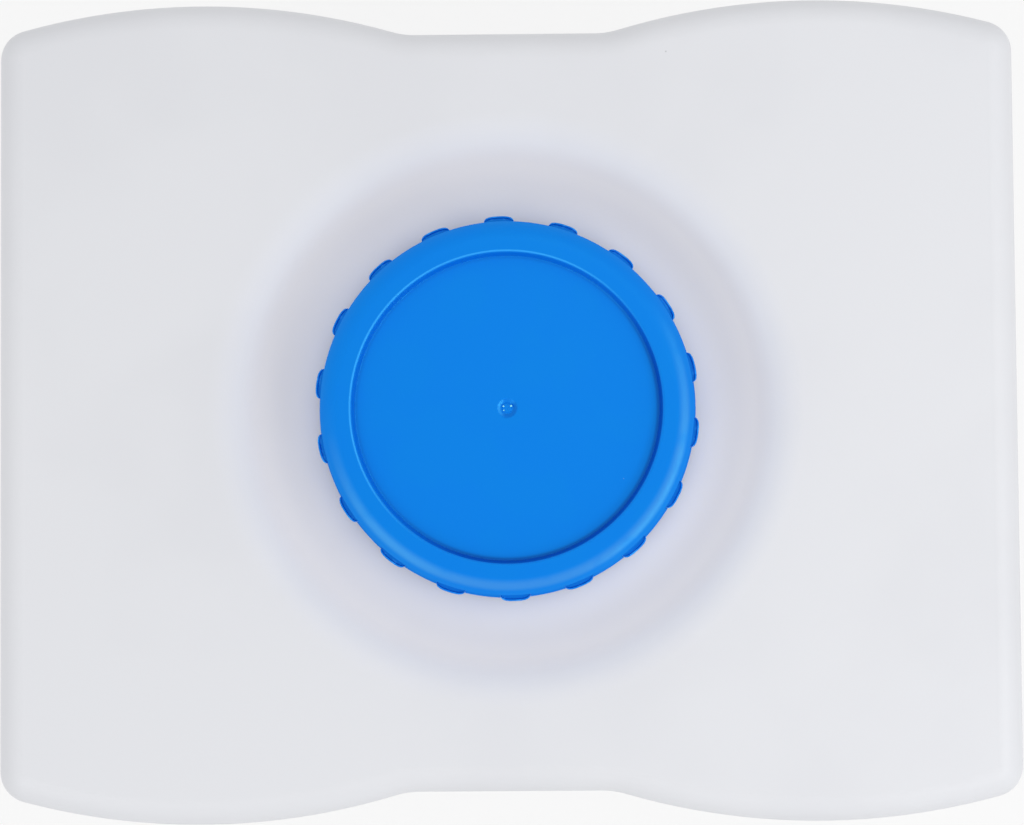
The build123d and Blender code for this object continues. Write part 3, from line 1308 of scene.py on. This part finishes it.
@dataclass(frozen=True)
class CapSeal:
    """The flat seal ring between the neck's lip and the cap."""

    low_level: float
    high_level: float
    inner_radius: float = 41.8 * MM
    outer_radius: float = 47.1 * MM
    edge_round: float = 0.4 * MM

    def build(self, finish: SealRubber) -> bpy.types.Object:
        """Build the seal.

        Args:
            finish: the rubber that it is made of.

        Returns:
            The seal's object.
        """
        moulding = Moulding()
        middle = (self.inner_radius + self.outer_radius) / 2
        corners = [
            Corner(middle, self.low_level),
            Corner(self.outer_radius, self.low_level, self.edge_round),
            Corner(self.outer_radius, self.high_level, self.edge_round),
            Corner(self.inner_radius, self.high_level, self.edge_round),
            Corner(self.inner_radius, self.low_level, self.edge_round),
            Corner(middle, self.low_level),
        ]
        moulding.turn(moulding.profile(rounded(corners)[:-1], closed=True))
        return moulding.finish(Piece.SEAL, finish.material())


# The studio


@dataclass(frozen=True)
class PhotoCamera:
    """The pinhole camera that sees the tank as the photograph does."""

    image_width: float = 1024
    focal_pixels: float = 2131.2
    sensor_width: float = 36
    place: tuple[float, float, float] = (7.0 * MM, -23.1 * MM, 860 * MM)
    tilt_x: float = -0.03694
    tilt_y: float = -0.00957
    roll: float = 0.00801
    near_limit: float = 0.01
    far_limit: float = 20.0

    def build(self) -> bpy.types.Object:
        """Make the camera and look through it.

        Returns:
            The camera's object.
        """
        data = bpy.data.cameras.new("photo_camera")
        data.sensor_fit = "HORIZONTAL"
        data.sensor_width = self.sensor_width
        data.lens = self.focal_pixels / self.image_width * self.sensor_width
        data.clip_start = self.near_limit
        data.clip_end = self.far_limit
        camera = add_object("photo_camera", data)
        turn = (Matrix.Rotation(self.roll, 3, "Z") @ Matrix.Rotation(self.tilt_x, 3, "X")
                @ Matrix.Rotation(self.tilt_y, 3, "Y"))
        camera.matrix_world = Matrix.Translation(self.place) @ turn.transposed().to_4x4()
        bpy.context.scene.camera = camera
        return camera


@dataclass(frozen=True)
class Softbox:
    """An oblong area lamp that faces the tank's top, placed by a bearing and a rise in degrees."""

    name: str
    bearing: float
    rise: float
    distance: float
    width: float
    height: float
    power: float
    target: tuple[float, float, float] = (0, 0, 260 * MM)

    def build(self) -> None:
        """Make the lamp."""
        data = bpy.data.lights.new(self.name, "AREA")
        data.shape = "RECTANGLE"
        data.size = self.width
        data.size_y = self.height
        data.energy = self.power
        lamp = add_object(self.name, data)
        bearing, rise = radians(self.bearing), radians(self.rise)
        arm = Vector((cos(rise) * cos(bearing), cos(rise) * sin(bearing), sin(rise))) * self.distance
        lamp.location = Vector(self.target) + arm
        lamp.rotation_euler = (-arm).to_track_quat("-Z", "Y").to_euler()


@dataclass(frozen=True)
class Studio:
    """A pale floor, a plain world and soft lamps, the strongest from the right."""

    floor_width: float = 6.0
    floor_color: Color = (0.86, 0.86, 0.86)
    floor_glow: float = 0.75
    floor_gap: float = 0.05 * MM
    world_color: Color = (1, 1, 1)
    world_strength: float = 0.775
    lamps: tuple[Softbox, ...] = (
        Softbox("key_right", bearing=-32, rise=38, distance=0.8, width=0.53, height=0.15, power=0.95),
        Softbox("soft_right", bearing=8, rise=45, distance=0.8, width=0.47, height=0.27, power=0.45),
        Softbox("fill_left", bearing=225, rise=45, distance=1.2, width=0.6, height=0.6, power=1.5),
        Softbox("back_high", bearing=60, rise=70, distance=1.5, width=0.7, height=0.7, power=0.6),
    )

    def build(self) -> None:
        """Make the floor, the world and the lamps."""
        self._floor()
        self._world()
        for lamp in self.lamps:
            lamp.build()
        bpy.context.scene.view_settings.view_transform = "Standard"

    def _floor(self) -> None:
        """Make the floor, which looks white to the camera and keeps a soft shadow."""
        moulding = bmesh.new()
        bmesh.ops.create_grid(moulding, x_segments=1, y_segments=1, size=self.floor_width / 2)
        mesh = bpy.data.meshes.new("studio_floor")
        moulding.to_mesh(mesh)
        moulding.free()
        graph = Graph("studio_floor")
        lit = graph.add("ShaderNodeBsdfDiffuse", {"Color": self.floor_color})
        glow = graph.add("ShaderNodeEmission", {"Color": (1, 1, 1), "Strength": 1.0})
        seen = graph.add("ShaderNodeLightPath", output="Is Camera Ray")
        mirrored = graph.add("ShaderNodeLightPath", output="Is Glossy Ray")
        through = graph.add("ShaderNodeLightPath", output="Is Transmission Ray")
        share = seen.larger(mirrored).larger(through) * self.floor_glow
        graph.close(graph.add("ShaderNodeMixShader", {0: share, 1: lit, 2: glow}))
        mesh.materials.append(graph.material)
        floor = add_object("studio_floor", mesh)
        floor.location.z = -self.floor_gap

    def _world(self) -> None:
        """Make the plain pale world."""
        world = bpy.data.worlds.new("studio")
        bpy.context.scene.world = world
        world.use_nodes = True
        background = world.node_tree.nodes["Background"]
        background.inputs["Color"].default_value = (*self.world_color, 1)
        background.inputs["Strength"].default_value = self.world_strength


def attach(made: bpy.types.Object, body: str, node: str) -> None:
    """Put a finished piece in its node's place.

    Args:
        made: the piece's object.
        body: the body that it moves with.
        node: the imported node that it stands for.
    """
    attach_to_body(made, body)
    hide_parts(node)
    LOG.info("%s rides on %s and stands for %s", made.name, body, node)


def main() -> None:
    """Build the pieces, the studio and the camera in order."""
    logging.basicConfig(level=logging.INFO, format="%(name)s: %(message)s")
    low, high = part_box("tank_body")
    tank = TankBody(length=high.x - low.x, depth=high.y - low.y, lip_level=high.z)
    attach(tank.build(NaturalPolyethylene()), "tank", "tank_body")
    low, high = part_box("screw_cap")
    cap = ScrewCap(rim_level=high.z, foot_level=low.z, lip_level=tank.lip_level)
    attach(cap.build(BluePlastic()), "cap", "screw_cap")
    low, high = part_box("cap_seal")
    seal = CapSeal(low_level=low.z, high_level=high.z)
    attach(seal.build(SealRubber()), "seal", "cap_seal")
    Studio().build()
    camera = PhotoCamera().build()
    LOG.info("camera %s, lens %.1f mm", camera.name, camera.data.lens)


if __name__ == "__main__":
    main()
